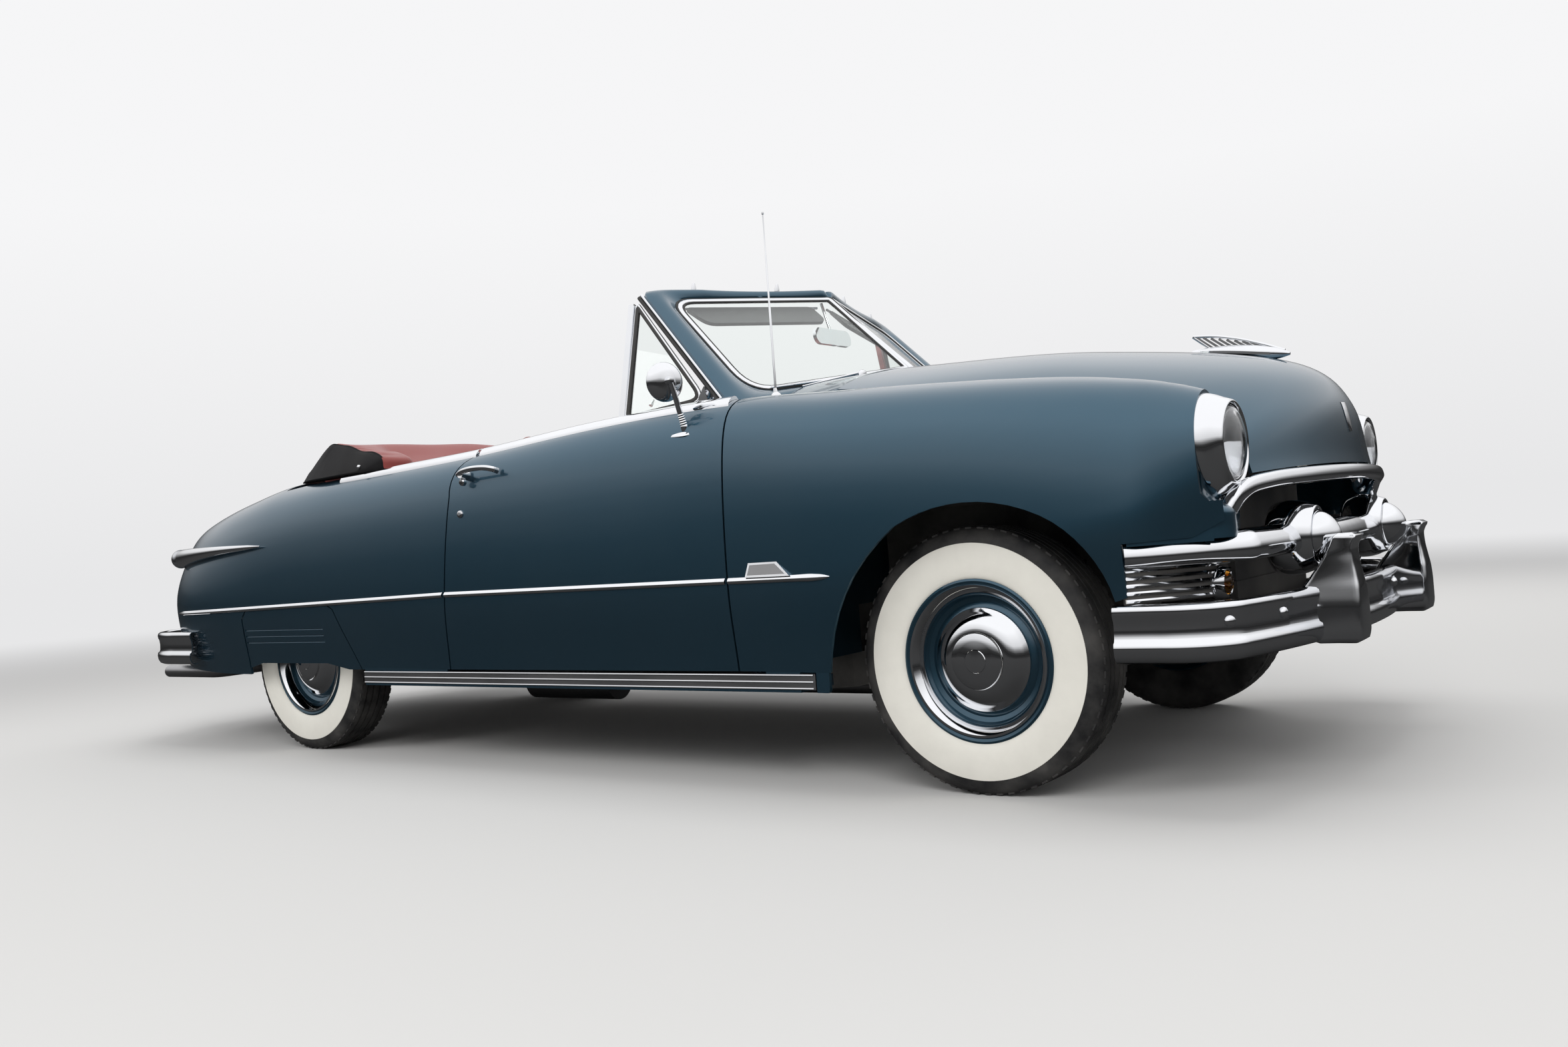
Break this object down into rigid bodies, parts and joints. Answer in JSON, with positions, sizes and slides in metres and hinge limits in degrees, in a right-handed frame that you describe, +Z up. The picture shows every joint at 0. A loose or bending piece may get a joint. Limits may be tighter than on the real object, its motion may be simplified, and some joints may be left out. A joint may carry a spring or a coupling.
{
  "type": "two-door convertible car",
  "caption": "Full-size two-door open car with folded top, bench seats, opening doors, hood and trunk lid, and steered front wheels.",
  "frame": {"origin": "on the ground under the middle of the car's box", "axes": "+X forward, +Y to the car's left, +Z up"},
  "size_m": [4.9989, 1.9, 1.608],
  "materials": {
    "body_paint": "glossy metallic",
    "wheel_paint": "gloss",
    "chassis_black": "satin",
    "chrome": "polished",
    "lamp_glass": "fluted",
    "clear_glass": "clear",
    "tyre": "matt with white sidewall",
    "red_vinyl": "satin vinyl",
    "boot_fabric": "coated cloth",
    "wheel_plastic": "gloss"
  },
  "bodies": {
    "body": {"antenna": "chrome", "aprons": "chassis_black", "cowl": "body_paint", "dashboard": "body_paint", "deck": "body_paint", "engine": "chassis_black", "exhaust": "chassis_black", "fender_skirts": "body_paint", "floor_pan": "chassis_black", "frame": "chassis_black", "front_bumper": "chrome", "front_fender_left": "body_paint", "front_fender_right": "body_paint", "front_lamps": "lamp_glass", "front_seat": "red_vinyl", "front_suspension": "chassis_black", "fuel_tank": "chassis_black", "grille_bar": "chrome", "grille_surround": "chrome", "lamp_panels": "chrome", "quarter_left": "body_paint", "quarter_right": "body_paint", "radiator": "chassis_black", "rear_axle": "chassis_black", "rear_bumper": "chrome", "rear_seat": "red_vinyl", "rear_wheelhouses": "chassis_black", "rockers": "body_paint", "steering_column": "body_paint", "tail_lamps": "chrome", "top_boot": "boot_fabric", "windscreen_frame": "body_paint", "windscreen_glass": "clear_glass"},
    "door_right": {"door_right": "body_paint", "vent_window_right": "chrome", "door_hardware_right": "chrome"},
    "door_left": {"door_left": "body_paint", "vent_window_left": "chrome", "door_hardware_left": "chrome"},
    "hood": {"hood": "body_paint", "hood_ornament": "chrome"},
    "trunk_lid": {"trunk_lid": "body_paint"},
    "knuckle_right": {"knuckle_right": "chassis_black"},
    "knuckle_left": {"knuckle_left": "chassis_black"},
    "tie_rod": {"tie_rod": "chassis_black"},
    "steering_wheel": {"steering_wheel": "wheel_plastic"},
    "wheel_front_right": {"tyre_front_right": "tyre", "wheel_front_right": "wheel_paint"},
    "wheel_front_left": {"tyre_front_left": "tyre", "wheel_front_left": "wheel_paint"},
    "wheel_rear_right": {"tyre_rear_right": "tyre", "wheel_rear_right": "wheel_paint"},
    "wheel_rear_left": {"tyre_rear_left": "tyre", "wheel_rear_left": "wheel_paint"}
  },
  "joints": [
    {"name": "steer_right", "type": "hinge", "parent": "body", "child": "knuckle_right", "pos_m": [1.6445, -0.6, 0.34], "axis": [0, 0, 1], "range_deg": [-28, 28]},
    {"name": "steer_left", "type": "hinge", "parent": "body", "child": "knuckle_left", "pos_m": [1.6445, 0.6, 0.34], "axis": [0, 0, 1], "range_deg": [-30, 30]},
    {"name": "tie_rod_pivot", "type": "hinge", "parent": "knuckle_right", "child": "tie_rod", "pos_m": [1.4945, -0.6, 0.243], "axis": [0, 0, 1], "range_deg": [-30, 30]},
    {"name": "steering_wheel_turn", "type": "hinge", "parent": "body", "child": "steering_wheel", "pos_m": [0.437, 0.38, 0.964], "axis": [-0.866, 0, 0.5], "range_deg": [-520, 520]},
    {"name": "door_right_hinge", "type": "hinge", "parent": "body", "child": "door_right", "pos_m": [0.9095, -0.862, 0.68], "axis": [0, 0, 1], "range_deg": [0, 65]},
    {"name": "door_left_hinge", "type": "hinge", "parent": "body", "child": "door_left", "pos_m": [0.9095, 0.862, 0.68], "axis": [0, 0, -1], "range_deg": [0, 65]},
    {"name": "hood_hinge", "type": "hinge", "parent": "body", "child": "hood", "pos_m": [1.187, 0, 1.187], "axis": [0, -1, 0], "range_deg": [0, 48]},
    {"name": "trunk_hinge", "type": "hinge", "parent": "body", "child": "trunk_lid", "pos_m": [-1.45, 0, 1.0685], "axis": [0, 1, 0], "range_deg": [0, 50]},
    {"name": "spin_front_right", "type": "hinge", "parent": "knuckle_right", "child": "wheel_front_right", "pos_m": [1.6445, -0.711, 0.34], "axis": [0, 1, 0], "continuous": true},
    {"name": "spin_front_left", "type": "hinge", "parent": "knuckle_left", "child": "wheel_front_left", "pos_m": [1.6445, 0.711, 0.34], "axis": [0, 1, 0], "continuous": true},
    {"name": "spin_rear_right", "type": "hinge", "parent": "body", "child": "wheel_rear_right", "pos_m": [-1.2515, -0.711, 0.34], "axis": [0, 1, 0], "continuous": true},
    {"name": "spin_rear_left", "type": "hinge", "parent": "body", "child": "wheel_rear_left", "pos_m": [-1.2515, 0.711, 0.34], "axis": [0, 1, 0], "continuous": true}
  ],
  "couplings": [
    {"joint": "steer_left", "follows": "steer_right", "ratio": 1},
    {"joint": "tie_rod_pivot", "follows": "steer_right", "ratio": -1},
    {"joint": "steering_wheel_turn", "follows": "steer_right", "ratio": 18}
  ]
}
